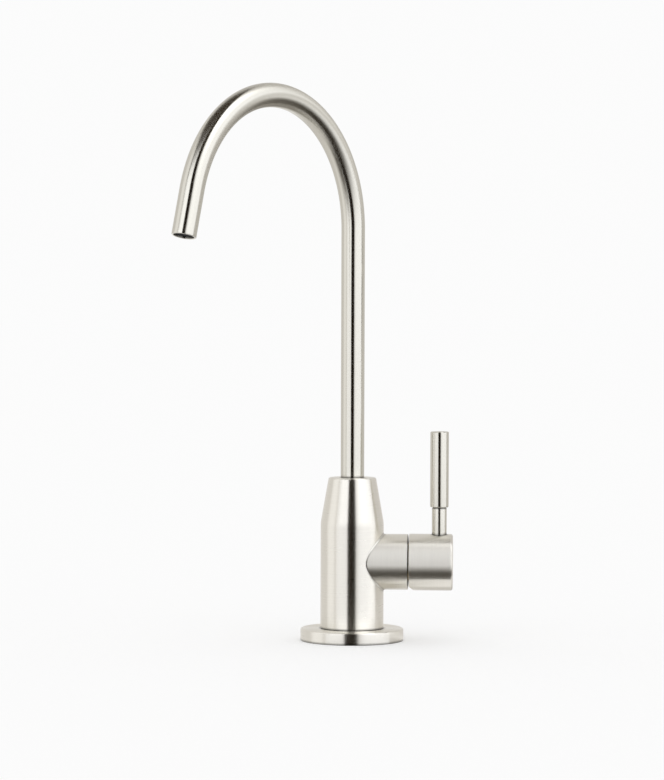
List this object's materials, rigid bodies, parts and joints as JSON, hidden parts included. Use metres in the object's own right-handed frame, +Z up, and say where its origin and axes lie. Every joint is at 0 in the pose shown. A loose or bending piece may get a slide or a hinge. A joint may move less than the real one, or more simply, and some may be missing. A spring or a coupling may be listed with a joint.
{
  "type": "drinking water filter tap",
  "caption": "Single-outlet drinking water tap with a swivelling gooseneck spout, a coned body and a quarter-turn pin lever on a side branch.",
  "frame": {"origin": "centre of the flange's underside, on the counter's top", "axes": "+Z up along the body and the spout's swivel axis, +X out along the valve branch, -Y towards the user"},
  "size_m": [0.1403, 0.1506, 0.3512],
  "materials": {
    "brushed_nickel": "fine circular brushing on warm nickel plate",
    "satin_nickel": "finer satin polish on warm nickel plate",
    "turned_brass": "as turned",
    "plain_steel": "plain stainless steel",
    "black_rubber": "moulded rubber",
    "white_acetal": "moulded acetal",
    "grey_acetal": "moulded acetal",
    "white_ceramic": "lapped alumina"
  },
  "bodies": {
    "base": {"tap_body": "brushed_nickel", "base_flange": "brushed_nickel", "base_gasket": "black_rubber", "threaded_shank": "turned_brass", "shank_seal": "black_rubber", "counter_rubber_washer": "black_rubber", "counter_steel_washer": "plain_steel", "backnut": "turned_brass", "cartridge_housing": "turned_brass", "cartridge_o_ring": "black_rubber", "valve_seat_seal": "black_rubber", "fixed_ceramic_disc": "white_ceramic"},
    "handle": {"handle_hub": "brushed_nickel", "handle_grub_screw": "plain_steel", "lever_stem": "satin_nickel", "lever_grip": "satin_nickel", "spindle": "turned_brass", "spindle_thrust_washer": "white_acetal", "spindle_o_rings": "black_rubber", "stop_ring": "turned_brass", "spindle_circlip": "plain_steel", "moving_ceramic_disc": "white_ceramic"},
    "spout": {"spout_tube": "satin_nickel", "spout_spigot": "turned_brass", "spout_o_rings": "black_rubber", "spout_slip_rings": "white_acetal", "spout_retaining_clip": "white_acetal", "aerator_housing": "grey_acetal", "flow_straightener": "grey_acetal", "aerator_screen": "plain_steel", "aerator_seal": "black_rubber"}
  },
  "joints": [
    {"name": "spout_swivel", "type": "hinge", "parent": "base", "child": "spout", "pos_m": [0, 0, 0.0878], "axis": [0, 0, 1], "continuous": true},
    {"name": "handle_turn", "type": "hinge", "parent": "base", "child": "handle", "pos_m": [0.0302, 0, 0.0424], "axis": [1, 0, 0], "range_deg": [0, 90]}
  ]
}
